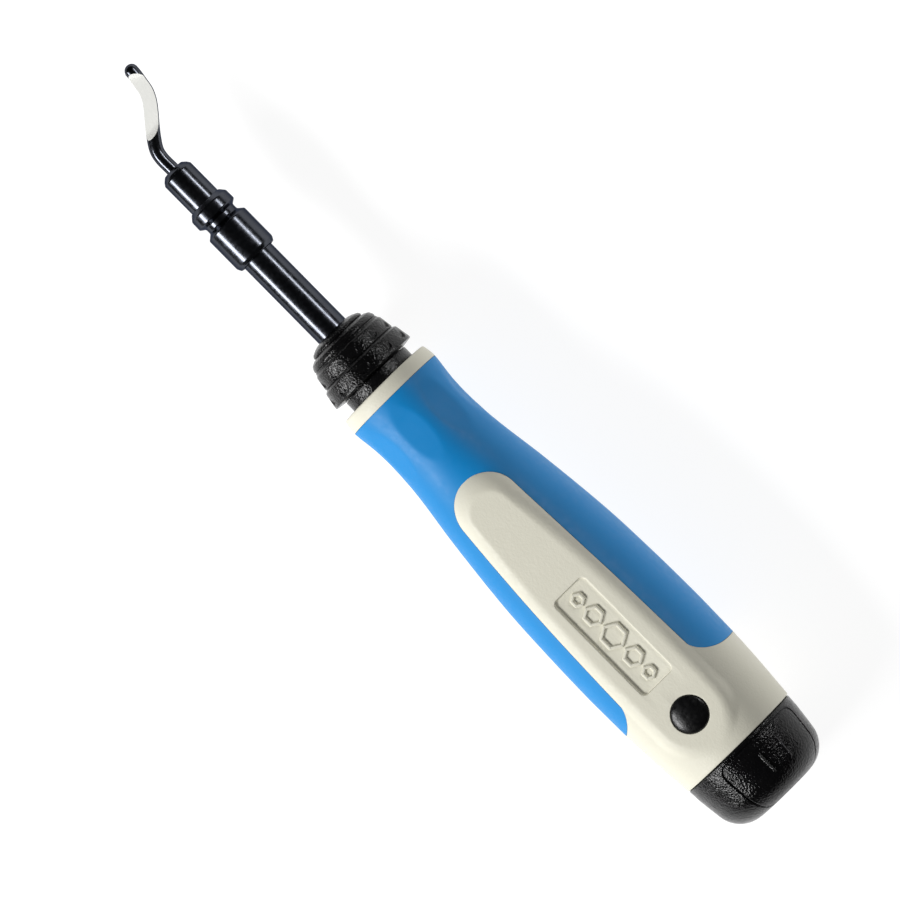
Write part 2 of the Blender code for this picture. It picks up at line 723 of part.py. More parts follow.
def main():
    clear_scene()
    build_blade()
    build_holder_barrel()
    build_lock_balls()
    build_release_sleeve()
    build_sleeve_spring()
    build_extension_rod()
    build_rod_stop()
    build_collet_nut()
    build_collet()
    build_collet_seat()
    ring_seal("nose_seal", 2.0, 7.3, 0.5)
    build_handle_core()
    build_grip_overmould()
    build_button()
    build_magazine_tray()
    ring_seal("cap_seal", 107.8, 10.15, 0.5)
    build_spare_blades()
    build_end_cap()
    build_cap_screw()


main()
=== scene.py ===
"""Deburring tool: fine surfaces, materials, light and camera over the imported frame."""
import math

import bmesh
import bpy
from mathutils import Matrix, Vector


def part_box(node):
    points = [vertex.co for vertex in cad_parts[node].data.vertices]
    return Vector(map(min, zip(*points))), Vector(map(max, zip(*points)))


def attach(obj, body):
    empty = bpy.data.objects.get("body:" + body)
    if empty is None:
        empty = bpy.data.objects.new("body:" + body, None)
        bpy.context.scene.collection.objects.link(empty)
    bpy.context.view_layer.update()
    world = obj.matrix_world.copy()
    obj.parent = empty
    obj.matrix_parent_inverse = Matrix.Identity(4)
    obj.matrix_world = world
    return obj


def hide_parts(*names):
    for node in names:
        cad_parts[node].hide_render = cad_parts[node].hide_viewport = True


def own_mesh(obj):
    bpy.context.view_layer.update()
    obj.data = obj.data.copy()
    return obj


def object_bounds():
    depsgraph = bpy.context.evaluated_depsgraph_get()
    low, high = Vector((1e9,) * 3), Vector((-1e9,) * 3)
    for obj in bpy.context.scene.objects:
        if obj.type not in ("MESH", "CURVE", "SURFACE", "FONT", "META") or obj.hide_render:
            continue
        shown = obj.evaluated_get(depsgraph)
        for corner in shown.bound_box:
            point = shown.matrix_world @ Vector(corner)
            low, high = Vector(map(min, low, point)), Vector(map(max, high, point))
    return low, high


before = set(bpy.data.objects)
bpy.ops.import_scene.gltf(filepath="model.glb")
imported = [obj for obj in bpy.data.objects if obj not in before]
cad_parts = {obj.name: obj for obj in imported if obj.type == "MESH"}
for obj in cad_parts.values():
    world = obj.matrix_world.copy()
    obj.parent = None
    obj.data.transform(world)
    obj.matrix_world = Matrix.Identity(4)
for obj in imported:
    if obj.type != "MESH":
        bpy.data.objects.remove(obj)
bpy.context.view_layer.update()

# ------------------------------------------------------------------ measures
# Lengths are in millimetres.  A station is the distance from the handle's front
# face towards the cap; heights and turns are measured from the tool's axis.
MM = 0.001
NOSE_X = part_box("handle_core")[0][0]
ROD_LOW, ROD_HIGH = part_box("extension_rod")
AXIS_Z = (ROD_LOW[2] + ROD_HIGH[2]) / 2


def station_of(x):
    return (x - NOSE_X) / MM


SEAM = station_of(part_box("handle_core")[1][0]) + 0.15
END = station_of(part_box("end_cap")[1][0])
TIP = station_of(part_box("blade")[0][0])
BUTTON_LOW, BUTTON_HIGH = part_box("button")
BUTTON_AT = station_of((BUTTON_LOW[0] + BUTTON_HIGH[0]) / 2)
BUTTON_TOP = (BUTTON_HIGH[2] - AXIS_Z) / MM
ROD = (ROD_HIGH[2] - ROD_LOW[2]) / 2 / MM
PAD_HEIGHT = (AXIS_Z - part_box("handle_core")[0][2]) / MM
FRONT_OF_ROD = station_of(ROD_LOW[0])

WIRE = 1.6              # radius of the blade's wire
SKIN = 2.0              # thickness under the bare grey surface
PAD_TIP = 27.6          # front end of a pad's outline
PAD_FULL = 35.4         # where the pad's rounded end is widest
PAD_ROUND = 10.4        # half the pad's width at the button
FLAT_FRONT = 36.4       # centre of the rounded front of the pad's flat
CAP = 14.94             # the cap's radius at the seam
CAP_TURN = math.radians(28.0)


def place(station, side, height):
    return Vector((NOSE_X + station * MM, side * MM, AXIS_Z + height * MM))


# ------------------------------------------------------------------ mesh helpers

def add_mesh(name, points, faces, materials, slots=None, sharp=40):
    """A piece from points (station, side, height)."""
    shape = bmesh.new()
    corners = [shape.verts.new(place(*point)) for point in points]
    for index, face in enumerate(faces):
        made = shape.faces.new([corners[corner] for corner in face])
        if slots:
            made.material_index = slots[index]
    bmesh.ops.recalc_face_normals(shape, faces=shape.faces[:])
    mesh = bpy.data.meshes.new(name)
    shape.to_mesh(mesh)
    shape.free()
    for item in materials:
        mesh.materials.append(item)
    mesh.shade_smooth()
    mesh.set_sharp_from_angle(angle=math.radians(sharp))
    item = bpy.data.objects.new(name, mesh)
    bpy.context.collection.objects.link(item)
    return item


def stand_in(item, body, slot, *nodes):
    """Makes a piece ride on a body and replace the plain nodes; the slot argument is not used."""
    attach(item, body)
    if nodes:
        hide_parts(*nodes)


def cut(item, label, solid, materials=()):
    """Takes a solid away from a piece; the new faces get the solid's material."""
    helper = add_mesh(label, *solid, materials)
    step = item.modifiers.new(label, "BOOLEAN")
    step.solver = "EXACT"
    step.material_mode = "TRANSFER"
    step.object = helper
    graph = bpy.context.evaluated_depsgraph_get()
    result = bpy.data.meshes.new_from_object(item.evaluated_get(graph))
    item.modifiers.remove(step)
    item.data = result
    bpy.data.objects.remove(helper, do_unlink=True)


def soften(points, radius, steps=4):
    """Rounds the inner corners of a profile with short curves."""
    soft = [points[0]]
    for before, here, after in zip(points, points[1:], points[2:]):
        back = math.dist(before, here)
        ahead = math.dist(here, after)
        start_share = min(radius / back, 0.45)
        end_share = min(radius / ahead, 0.45)
        start = [h + (b - h) * start_share for h, b in zip(here, before)]
        end = [h + (a - h) * end_share for h, a in zip(here, after)]
        for step in range(steps + 1):
            t = step / steps
            soft.append(tuple(s * (1 - t) ** 2 + 2 * h * t * (1 - t) + e * t * t
                              for s, h, e in zip(start, here, end)))
    soft.append(points[-1])
    return soft


def finer(points, longest):
    """Splits a profile's long stretches so that no step is over `longest`."""
    split = []
    for near, far in zip(points, points[1:]):
        count = max(1, math.ceil(math.dist(near, far) / longest))
        for step in range(count):
            t = step / count
            split.append((near[0] + (far[0] - near[0]) * t, near[1] + (far[1] - near[1]) * t))
    split.append(points[-1])
    return split


def arc(centre, radius, start, end, steps):
    """Points of an arc from one angle to another, in degrees."""
    turned = []
    for step in range(steps + 1):
        angle = math.radians(start + (end - start) * step / steps)
        turned.append((centre[0] + radius * math.cos(angle), centre[1] + radius * math.sin(angle)))
    return turned


def revolve(profile, sides, press=None, upright=None):
    """Turns a profile of (along, radius).  `press` gives a radial offset at (row, along,
    turn); `upright` is the station of an upright axis, or None for the tool's own."""
    points = []
    rows = []
    closed = profile[0][1] != 0 or profile[-1][1] != 0
    for number, (along, radius) in enumerate(profile):
        row = []
        for step in range(1 if radius == 0 else sides):
            turn = 2 * math.pi * step / sides
            out = radius + (press(number, along, turn) if press and radius else 0.0)
            row.append(len(points))
            if upright is None:
                points.append((along, out * math.sin(turn), out * math.cos(turn)))
            else:
                points.append((upright + out * math.cos(turn), out * math.sin(turn), along))
        rows.append(row)
    pairs = list(zip(rows, rows[1:]))
    if closed:
        pairs.append((rows[-1], rows[0]))
    faces = []
    for near, far in pairs:
        for step in range(sides):
            after = (step + 1) % sides
            ring = [near[step % len(near)], near[after % len(near)],
                    far[after % len(far)], far[step % len(far)]]
            faces.append(list(dict.fromkeys(ring)))
    return points, faces


def through_rings(rings):
    """A solid tube through rings of points, closed at both ends."""
    points = [point for ring in rings for point in ring]
    sides = len(rings[0])
    faces = [list(range(sides)), list(range(len(points) - sides, len(points)))]
    for row in range(len(rings) - 1):
        for step in range(sides):
            after = (step + 1) % sides
            faces.append([row * sides + step, row * sides + after,
                          (row + 1) * sides + after, (row + 1) * sides + step])
    return points, faces


def curve(stations, station):
    """Smooth curve through (station, value) pairs, flat beyond both ends."""
    if station <= stations[0][0]:
        return stations[0][1]
    if station >= stations[-1][0]:
        return stations[-1][1]
    count = len(stations)
    index = max(i for i in range(count - 1) if stations[i][0] <= station)

    def slope(i):
        before = stations[max(i - 1, 0)]
        after = stations[min(i + 1, count - 1)]
        return (after[1] - before[1]) / (after[0] - before[0])

    (x0, y0), (x1, y1) = stations[index], stations[index + 1]
    width = x1 - x0
    t = (station - x0) / width
    return (y0 * (1 + 2 * t) * (1 - t) ** 2 + slope(index) * width * t * (1 - t) ** 2
            + y1 * t * t * (3 - 2 * t) + slope(index + 1) * width * t * t * (t - 1))


def ramp(value, low, high):
    """0 below low, 1 above high and smooth between them."""
    t = min(max((value - low) / (high - low), 0.0), 1.0)
    return t * t * (3 - 2 * t)


# ------------------------------------------------------------------ materials

EDGE_RANGE = (0.515, 0.56)


class Nodes:
    """Short calls for building a material's node tree in millimetres of object space."""

    def __init__(self, name):
        self.material = bpy.data.materials.new(name)
        self.material.use_nodes = True
        self.tree = self.material.node_tree
        self.shader = self.tree.nodes["Principled BSDF"]
        place_node = self.tree.nodes.new("ShaderNodeTexCoord")
        scale = self.tree.nodes.new("ShaderNodeMapping")
        scale.inputs["Scale"].default_value = (1 / MM, 1 / MM, 1 / MM)
        self.link(place_node.outputs["Object"], scale.inputs["Vector"])
        self.space = scale.outputs["Vector"]
        self.height = None

    def link(self, source, target):
        self.tree.links.new(source, target)

    def set(self, **values):
        for name, value in values.items():
            socket = self.shader.inputs[name.replace("_", " ")]
            socket.default_value = value

    def stretched(self, x, y, z):
        node = self.tree.nodes.new("ShaderNodeMapping")
        node.inputs["Scale"].default_value = (x, y, z)
        self.link(self.space, node.inputs["Vector"])
        return node.outputs["Vector"]

    def noise(self, size, detail=2.0, roughness=0.5, vector=None):
        """Noise whose features are about `size` millimetres across."""
        node = self.tree.nodes.new("ShaderNodeTexNoise")
        node.inputs["Scale"].default_value = 1 / size
        node.inputs["Detail"].default_value = detail
        node.inputs["Roughness"].default_value = roughness
        self.link(vector or self.space, node.inputs["Vector"])
        return node.outputs["Fac"]

    def spread(self, value, low, high, first, second):
        """Maps a value's low..high to first..second."""
        node = self.tree.nodes.new("ShaderNodeMapRange")
        node.inputs["From Min"].default_value = low
        node.inputs["From Max"].default_value = high
        node.inputs["To Min"].default_value = first
        node.inputs["To Max"].default_value = second
        self.link(value, node.inputs["Value"])
        return node.outputs["Result"]

    def tint(self, value, first, second):
        node = self.tree.nodes.new("ShaderNodeMix")
        node.data_type = "RGBA"
        node.inputs["A"].default_value = (*first, 1.0)
        node.inputs["B"].default_value = (*second, 1.0)
        self.link(value, node.inputs["Factor"])
        return node.outputs["Result"]

    def over(self, base, colour, mask):
        """Lays a colour over a base where the mask is bright."""
        node = self.tree.nodes.new("ShaderNodeMix")
        node.data_type = "RGBA"
        node.inputs["B"].default_value = (*colour, 1.0)
        self.link(base, node.inputs["A"])
        self.link(mask, node.inputs["Factor"])
        return node.outputs["Result"]

    def worn(self, amount):
        """A mask that is bright along raised edges, broken up by noise."""
        geometry = self.tree.nodes.new("ShaderNodeNewGeometry")
        edge = self.spread(geometry.outputs["Pointiness"], *EDGE_RANGE, 0.0, 1.0)
        broken = self.spread(self.noise(1.4, 4.0), 0.4, 0.65, 0.0, amount)
        node = self.tree.nodes.new("ShaderNodeMath")
        node.operation = "MULTIPLY"
        self.link(edge, node.inputs[0])
        self.link(broken, node.inputs[1])
        return node.outputs["Value"]

    def bump(self, value, depth):
        """Adds relief `depth` millimetres deep; several calls pile up."""
        node = self.tree.nodes.new("ShaderNodeBump")
        node.inputs["Distance"].default_value = depth * MM
        self.link(value, node.inputs["Height"])
        if self.height is not None:
            self.link(self.height, node.inputs["Normal"])
        self.height = node.outputs["Normal"]
        self.link(self.height, self.shader.inputs["Normal"])

    def to(self, socket, value):
        self.link(value, self.shader.inputs[socket])


def blued_steel():
    """Dark oxide finish with turning marks, bare along worn edges."""
    made = Nodes("blued_steel")
    made.set(Metallic=1.0, Specular_Tint=(0.35, 0.36, 0.4, 1.0))
    cloud = made.spread(made.noise(6.0, 3.0), 0.3, 0.7, 0.0, 1.0)
    base = made.tint(cloud, (0.058, 0.062, 0.072), (0.074, 0.079, 0.092))
    made.to("Base Color", made.over(base, (0.22, 0.23, 0.25), made.worn(0.6)))
    made.to("Roughness", made.spread(made.noise(0.8, 5.0), 0.3, 0.7, 0.16, 0.27))
    turning = made.stretched(3.0, 0.25, 0.25)
    made.bump(made.noise(0.5, 3.0, 0.6, turning), 0.002)
    made.bump(made.noise(0.35, 2.0), 0.0015)
    return made.material


def ground_steel():
    """Bright face with grinding lines along the wire."""
    made = Nodes("ground_steel")
    made.set(Metallic=0.2)
    lines = made.noise(0.5, 3.0, 0.6, made.stretched(0.4, 3.5, 1.0))
    made.to("Base Color", made.tint(lines, (0.90, 0.90, 0.86), (0.98, 0.98, 0.94)))
    made.to("Roughness", made.spread(lines, 0.3, 0.7, 0.42, 0.58))
    made.bump(lines, 0.004)
    return made.material


def black_moulding(name, grain, depth, rough):
    """Black nylon with a spark-eroded grain."""
    made = Nodes(name)
    made.set(Specular_IOR_Level=0.3)
    cloud = made.noise(4.0, 3.0)
    base = made.tint(cloud, (0.0015, 0.0015, 0.0017), (0.004, 0.004, 0.0044))
    made.to("Base Color", made.over(base, (0.02, 0.02, 0.021), made.worn(0.5)))
    patches = made.noise(grain * 2.2, 4.0)
    made.to("Roughness", made.spread(patches, 0.3, 0.7, rough - 0.08, rough + 0.1))
    made.bump(made.noise(grain, 1.5, 0.6), depth)
    made.bump(made.noise(grain * 6, 2.0), depth * 0.2)
    return made.material


def grey_shell():
    """Warm grey plastic with a fine moulded grain."""
    made = Nodes("grey_shell")
    made.set(Specular_IOR_Level=0.4)
    cloud = made.noise(9.0, 4.0)
    made.to("Base Color", made.tint(cloud, (0.68, 0.662, 0.553), (0.72, 0.70, 0.59)))
    made.to("Roughness", made.spread(made.noise(1.2, 4.0), 0.3, 0.7, 0.46, 0.6))
    made.bump(made.noise(0.55, 3.0, 0.6), 0.06)
    made.bump(made.noise(2.4, 2.0), 0.02)
    return made.material


def blue_grip():
    """Matt blue elastomer."""
    made = Nodes("blue_grip")
    made.set(Specular_IOR_Level=0.32)
    cloud = made.noise(12.0, 3.0)
    made.to("Base Color", made.tint(cloud, (0.002, 0.215, 0.55), (0.003, 0.238, 0.60)))
    made.to("Roughness", made.spread(made.noise(1.5, 4.0), 0.3, 0.7, 0.46, 0.56))
    made.bump(made.noise(0.3, 2.0), 0.004)
    made.bump(made.noise(5.0, 2.0), 0.02)
    return made.material


def seal_rubber():
    """Black seal rubber."""
    made = Nodes("seal_rubber")
    made.to("Base Color", made.tint(made.noise(1.0), (0.012, 0.012, 0.012), (0.022, 0.022, 0.022)))
    made.to("Roughness", made.spread(made.noise(0.5, 3.0), 0.3, 0.7, 0.45, 0.65))
    made.bump(made.noise(0.2, 2.0), 0.004)
    return made.material


def plain_metal(name, dark, light, low, high):
    """Turned metal with fine lines round its axis."""
    made = Nodes(name)
    made.set(Metallic=1.0)
    lines = made.noise(0.4, 3.0, 0.6, made.stretched(4.0, 0.3, 0.3))
    made.to("Base Color", made.tint(lines, dark, light))
    made.to("Roughness", made.spread(made.noise(0.9, 4.0), 0.3, 0.7, low, high))
    made.bump(lines, 0.004)
    return made.material


BLUED = blued_steel()
GROUND_STEEL = ground_steel()
NUT_BLACK = black_moulding("black_nylon", 0.46, 0.17, 0.16)
BUTTON_BLACK = black_moulding("button_black", 0.36, 0.03, 0.3)
CAP_BLACK = black_moulding("cap_black", 0.46, 0.17, 0.17)
GREY = grey_shell()
BLUE = blue_grip()
RUBBER = seal_rubber()
BRASS = plain_metal("brass", (0.55, 0.36, 0.12), (0.72, 0.5, 0.2), 0.25, 0.38)
BRIGHT = plain_metal("bright_steel", (0.48, 0.48, 0.48), (0.62, 0.62, 0.61), 0.2, 0.34)

# ------------------------------------------------------------------ blade

HOOK = [(-87.2, 8.85), (-85.6, 8.75), (-83.4, 8.4), (-81.3, 8.0), (-79.3, 7.0), (-77.3, 5.45),
        (-75.1, 3.55), (-73.0, 1.9), (-70.8, 0.5), (-68.7, 0.0), (-66.0, 0.0)]
HOOK_REACH = 8.87       # how far the tip stands to the side
HOOK_STEPS = 7
SHANK_END = (-46.4, -46.0)
BALL_AT = -50.5
GROOVE = 1.15           # radius of the shank in the balls' groove
FLAT_OF_BLADE = 0.45    # height of the ground face above the wire's middle
GROUND = (-84.9, -75.2)
TIP_RUN_OUT = 1.1
TIP_SLANT = 0.55
WHEEL = 2.5             # radius that the grinding wheel leaves
WIRE_SIDES = 48


def hook_line():
    """Centre line of the wire with its radius: (station, side, radius)."""
    line = []
    for angle in (4, 12, 20, 30, 42, 54, 66, 79):
        turn = math.radians(angle)
        line.append((TIP + WIRE * (1 - math.cos(turn)), HOOK_REACH, WIRE * math.sin(turn)))
    for index in range(len(HOOK) - 1):
        before = Vector(HOOK[max(index - 1, 0)])
        here = Vector(HOOK[index])
        after = Vector(HOOK[index + 1])
        beyond = Vector(HOOK[min(index + 2, len(HOOK) - 1)])
        for step in range(HOOK_STEPS):
            t = step / HOOK_STEPS
            point = 0.5 * (2 * here + (after - before) * t
                           + (2 * before - 5 * here + 4 * after - beyond) * t * t
                           + (3 * here - before - 3 * after + beyond) * t ** 3)
            if point.x > line[-1][0] + 0.05:
                line.append((point.x, point.y, WIRE))
    for station, radius in ((HOOK[-1][0], WIRE), (BALL_AT - 1.0, WIRE), (BALL_AT - 0.45, GROOVE),
                            (BALL_AT + 0.45, GROOVE), (BALL_AT + 1.0, WIRE),
                            (SHANK_END[0], WIRE), (SHANK_END[1], WIRE - 0.4)):
        line.append((station, 0.0, radius))
    return line


def grinding_cutter(shift):
    """Everything above the ground face: a slanting run-out at the tip, and at the
    shank the curve that the grinding wheel leaves."""
    front, rear = GROUND
    face = [(front - TIP_RUN_OUT, WIRE, TIP_SLANT), (front, FLAT_OF_BLADE, TIP_SLANT),
            (rear, FLAT_OF_BLADE, 0.0)]
    for angle in range(10, 71, 10):
        turn = math.radians(angle)
        lift = WHEEL * (1 - math.cos(turn))
        face.append((rear + WHEEL * math.sin(turn), FLAT_OF_BLADE + lift, 0.0))
    rings = []
    for station, height, slant in face:
        ring = []
        for side, lift in ((-4.0, 0.0), (16.0, 0.0), (16.0, 4.0), (-4.0, 4.0)):
            along = station + slant * (side - 8.8)
            ring.append((along + shift[0], side + shift[1], height + lift + shift[2]))
        rings.append(ring)
    return through_rings(rings)


def blade_mesh(name, shift=(0.0, 0.0, 0.0)):
    """Round wire along the hook's line, ground to half its thickness."""
    line = hook_line()
    rings = []
    for index, (station, side, radius) in enumerate(line):
        before = line[max(index - 1, 0)]
        after = line[min(index + 1, len(line) - 1)]
        lean = math.atan2(after[1] - before[1], after[0] - before[0])
        ring = []
        for step in range(WIRE_SIDES):
            angle = 2 * math.pi * step / WIRE_SIDES
            across = radius * math.cos(angle)
            ring.append((station - across * math.sin(lean) + shift[0],
                         side + across * math.cos(lean) + shift[1],
                         radius * math.sin(angle) + shift[2]))
        rings.append(ring)
    item = add_mesh(name, *through_rings(rings), [BLUED])
    cut(item, "grinding", grinding_cutter(shift), [GROUND_STEEL])
    item.data.shade_smooth()
    item.data.set_sharp_from_angle(angle=math.radians(25))
    return item


def build_blades():
    stand_in(blade_mesh("hook_blade"), "blade", "blued_steel", "blade")
    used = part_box("blade")
    for index in (1, 2):
        node = "spare_blade_%d" % index
        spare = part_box(node)
        shift = [(spare[0][axis] - used[0][axis]) / MM for axis in range(3)]
        shift[2] = (spare[0][2] + spare[1][2]) / 2 / MM - AXIS_Z / MM
        stand_in(blade_mesh("spare_hook_blade_%d" % index, shift), "magazine", "blued_steel", node)


# ------------------------------------------------------------------ holder and rod

TURNED_SIDES = 96
BARREL = 3.88
BARREL_REAR = -52.8


def build_holder():
    """Round nose with the blade's socket, and a plug that reaches into the rod."""
    front = station_of(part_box("holder_barrel")[0][0])
    outer = soften([(front + 0.25, 1.72), (front, 1.95), (front, 2.5), (front + 0.75, 3.35),
                    (front + 1.5, BARREL), (BARREL_REAR, BARREL)], 0.2, 4)
    socket = [(-45.5, 0), (-45.5, 1.68)]
    plug = [(BARREL_REAR, 3.0), (-41.9, 3.0), (-41.9, 0)]
    profile = socket + outer + plug
    item = add_mesh("blade_holder", *revolve(finer(profile, 3.0), TURNED_SIDES), [BLUED], sharp=50)
    stand_in(item, "extension", "blued_steel", "holder_barrel")


def build_sleeve():
    """Grooved sleeve, hollow for the balls at its front and for its spring behind."""
    front, rear = [station_of(corner[0]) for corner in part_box("release_sleeve")]
    outer = soften([(front, 3.98), (front, 4.15), (front + 1.2, 5.15), (front + 3.65, 5.2),
                    (-50.85, 4.05), (-49.6, 4.05), (-48.5, 5.33), (rear - 1.0, 5.33),
                    (rear, 4.8), (rear, 4.47)], 0.28, 5)
    inside = [(-48.6, 4.47), (-48.6, 3.17), (-52.5, 3.17), (-52.5, 4.35), (-54.3, 4.35),
              (-54.3, 3.98)]
    profile = outer + inside
    solid = revolve(finer(profile, 3.0), TURNED_SIDES)
    item = add_mesh("grooved_sleeve", *solid, [BLUED], sharp=50)
    stand_in(item, "sleeve", "blued_steel", "release_sleeve")


def build_rod():
    rear = station_of(ROD_HIGH[0])
    bore = 2.7
    outer = soften([(FRONT_OF_ROD, bore), (FRONT_OF_ROD, ROD), (rear, ROD), (rear, bore)], 0.3, 4)
    item = add_mesh("polished_rod", *revolve(finer(outer, 6.0), TURNED_SIDES), [BLUED], sharp=50)
    stand_in(item, "extension", "blued_steel", "extension_rod")


# ------------------------------------------------------------------ collet nut and seat

NUT_RINGS = ((-9.3, 1.25, 9.5), (-5.3, 1.3, 7.0))   # station, reach and turn of the scoops
NUT_SCALLOPS = 10
SCALLOP_DEPTH = 0.55
SCALLOP_RADIUS = 10.0
SCALLOP_LONGER = 1.15
SCALLOP_WALL = (0.93, 1.03)
NUT_SIDES = 480


def scallop(station, turn):
    """Thumbnail scoops round two of the nut's steps, each with a steep rear wall."""
    depth = 0.0
    for centre, size, offset in NUT_RINGS:
        along = station - centre
        if abs(along) > size + 0.2:
            continue
        pitch = 2 * math.pi / NUT_SCALLOPS
        local = (turn - math.radians(offset) + pitch / 2) % pitch - pitch / 2
        reach = math.hypot(along / size, local * SCALLOP_RADIUS / (size * SCALLOP_LONGER))
        wall = 1 - ramp(reach, *SCALLOP_WALL)
        depth += wall * max((along / size + 1) / 2, 0.0) ** 2
    return -SCALLOP_DEPTH * depth


def build_nut():
    """Moulded nut in five steps, each a little wider than the one before it."""
    front = station_of(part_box("collet_nut")[0][0]) + 0.25
    bore = 4.25
    thread = 7.6
    nose = [(front, bore), (front, 4.7), (-15.55, 5.7), (-15.05, 6.7), (-14.6, 7.05), (-14.25, 7.1)]
    second = [(-14.13, 6.75), (-13.95, 7.6), (-13.4, 8.55), (-12.6, 8.97), (-12.08, 9.05)]
    third = [(-11.95, 8.8), (-11.82, 9.1), (-11.4, 9.15), (-10.95, 9.55), (-7.78, 10.02)]
    fourth = [(-7.65, 9.72), (-7.5, 10.05), (-7.05, 10.62), (-3.7, 11.2), (-3.2, 11.2)]
    rear = [(-2.85, 8.95), (-2.85, thread)]
    outer = finer(soften(nose + second + third + fourth + rear, 0.16, 3), 0.2)
    profile = outer + [(-12.1, thread), (-12.5, 6.45), (-15.1, 5.2), (-15.1, bore)]
    last = len(outer) - 4

    def press(row, station, turn):
        return scallop(station, turn) if row < last else 0.0

    item = add_mesh("stepped_nut", *revolve(profile, NUT_SIDES, press), [NUT_BLACK], sharp=60)
    stand_in(item, "nut", "black_nylon", "collet_nut")


def build_seat():
    """Threaded stub, bare neck and the plug inside the handle, with its seal groove."""
    neck = 8.8
    plug = 7.8
    profile = soften([(-11.9, 5.8), (-11.9, 7.3), (-2.65, 7.3), (-2.65, neck), (0.0, neck),
                      (0.0, plug), (1.0, plug), (1.0, 6.7), (3.0, 6.7), (3.0, plug), (12.0, plug),
                      (12.0, 4.25), (-3.2, 4.25), (-3.2, 5.8)], 0.12, 2)
    item = add_mesh("threaded_neck", *revolve(finer(profile, 1.5), 128), [NUT_BLACK], sharp=50)
    stand_in(item, "handle", "black_nylon", "collet_seat")


# ------------------------------------------------------------------ handle

SIDE = [(0.0, 11.8), (3.0, 12.2), (8.7, 11.6), (14.0, 11.42), (21.7, 11.78), (34.7, 13.35),
        (52.9, 15.2), (65.9, 15.85), (78.9, 16.14), (88.0, 16.12), (99.0, 15.72), (SEAM, 15.13)]
CROWN = [(0.0, 11.7), (3.0, 12.12), (8.7, 11.56), (14.0, 11.39), (21.7, 11.8), (27.6, 12.6),
         (35.4, 14.3), (52.9, 15.5), (65.9, 15.75), (78.9, 15.85), (88.0, 15.75), (99.0, 15.35),
         (SEAM, 14.9)]
SQUARENESS = [(20.0, 2.0), (40.0, 2.3), (95.0, 2.3), (SEAM, 2.0)]
FLAT_EDGE = [(FLAT_FRONT, 4.75), (46.4, 5.5), (57.2, 6.15), (78.9, 6.9), (BUTTON_AT, 7.15)]
PAD_EDGE = [(PAD_FULL, 7.8), (46.4, 8.5), (57.2, 9.1), (65.9, 9.5), (78.9, 9.9),
            (BUTTON_AT, PAD_ROUND)]
FLAT_EDGE_SOFT = 0.06       # share of the bevel that rounds the edge of the flat
PAD_FILLET = 0.65           # share of the bevel that runs out behind the grip
BEVEL_START = -0.6
GRIP_SIDE = 91.3            # rear edge of the soft grip at the sides
GRIP_CORNER = 84.2          # and next to the pads
GRIP_HEIGHT = 13.3
GRIP_SQUARE = 4.5
GRIP_TURN = 0.42
NOSE = 3.4                  # length of the bare nose ring
GAP = 0.04                  # half the joint line between the grey and blue surfaces
DIMPLE_AT = 12.9
DIMPLE_LONG = 7.5
DIMPLE_WIDE = 3.1
DIMPLE_DEPTH = 0.4
WAIST = 11.4
PAD_LINES = 26
OVAL_LINES = 26
QUARTER = PAD_LINES + OVAL_LINES


def end_arc(station, centre, radius):
    return math.sqrt(max(radius ** 2 - (station - centre) ** 2, 0.0))


def pad_edge(station):
    """Half the width of the pad's outline; it runs on as a thin line before the pad."""
    if station < PAD_FULL:
        return max(end_arc(station, PAD_FULL, PAD_EDGE[0][1]), 0.9)
    return curve(PAD_EDGE, station)


def outside(station, side, edge, front, rear):
    """Distance out of a long rounded outline (negative inside it)."""
    if station < front:
        return math.hypot(station - front, side) - edge[0][1]
    if station > rear:
        return math.hypot(station - rear, side) - edge[-1][1]
    return side - curve(edge, station)


def oval_height(station, side):
    """Height of the handle's oval section at a distance to the side."""
    power = curve(SQUARENESS, station)
    share = min(abs(side) / curve(SIDE, station), 1.0) ** power
    return curve(CROWN, station) * (1 - share) ** (1 / power)


def oval(station, turn):
    """Point of the oval section at a turn from the crown."""
    power = curve(SQUARENESS, station)
    side = abs(math.sin(turn)) / curve(SIDE, station)
    height = abs(math.cos(turn)) / curve(CROWN, station)
    radius = (side ** power + height ** power) ** (-1 / power)
    return radius * math.sin(turn), radius * math.cos(turn)


def pad_height(station, side):
    """The pad's surface: flat inside its inner outline, sloping to the oval at its outer one."""
    low = oval_height(station, side)
    inner = outside(station, side, FLAT_EDGE, FLAT_FRONT, BUTTON_AT)
    outer = -outside(station, side, PAD_EDGE, PAD_FULL, BUTTON_AT)
    if outer <= 0:
        return low
    if inner <= BEVEL_START:
        return PAD_HEIGHT
    share = inner / (inner + outer)
    if abs(share) < FLAT_EDGE_SOFT:
        share = (share + FLAT_EDGE_SOFT) ** 2 / (4 * FLAT_EDGE_SOFT)
    fillet = PAD_FILLET * ramp(station, 83.0, 89.0)
    if fillet > 0 and 1 - share < fillet:
        part = (1 - share) / fillet
        share = 1 - fillet * (2 - part) * part ** 2
    return PAD_HEIGHT + (low - PAD_HEIGHT) * min(max(share, 0.0), 1.0)


def quarter_section(station, gap):
    """From the crown to the side: lines across the pad, its border, then the oval."""
    edge = max(pad_edge(station) + gap, 0.5)
    points = []
    for line in range(PAD_LINES):
        side = edge * line / PAD_LINES
        points.append((side, pad_height(station, side)))
    start = math.atan2(edge, oval_height(station, edge))
    for line in range(OVAL_LINES + 1):
        points.append(oval(station, start + (math.pi / 2 - start) * (line / OVAL_LINES) ** 1.3))
    return points


def whole_section(quarter):
    right = quarter + [(y, -z) for y, z in quarter[-2::-1]]
    return right + [(-y, z) for y, z in right[-2:0:-1]]


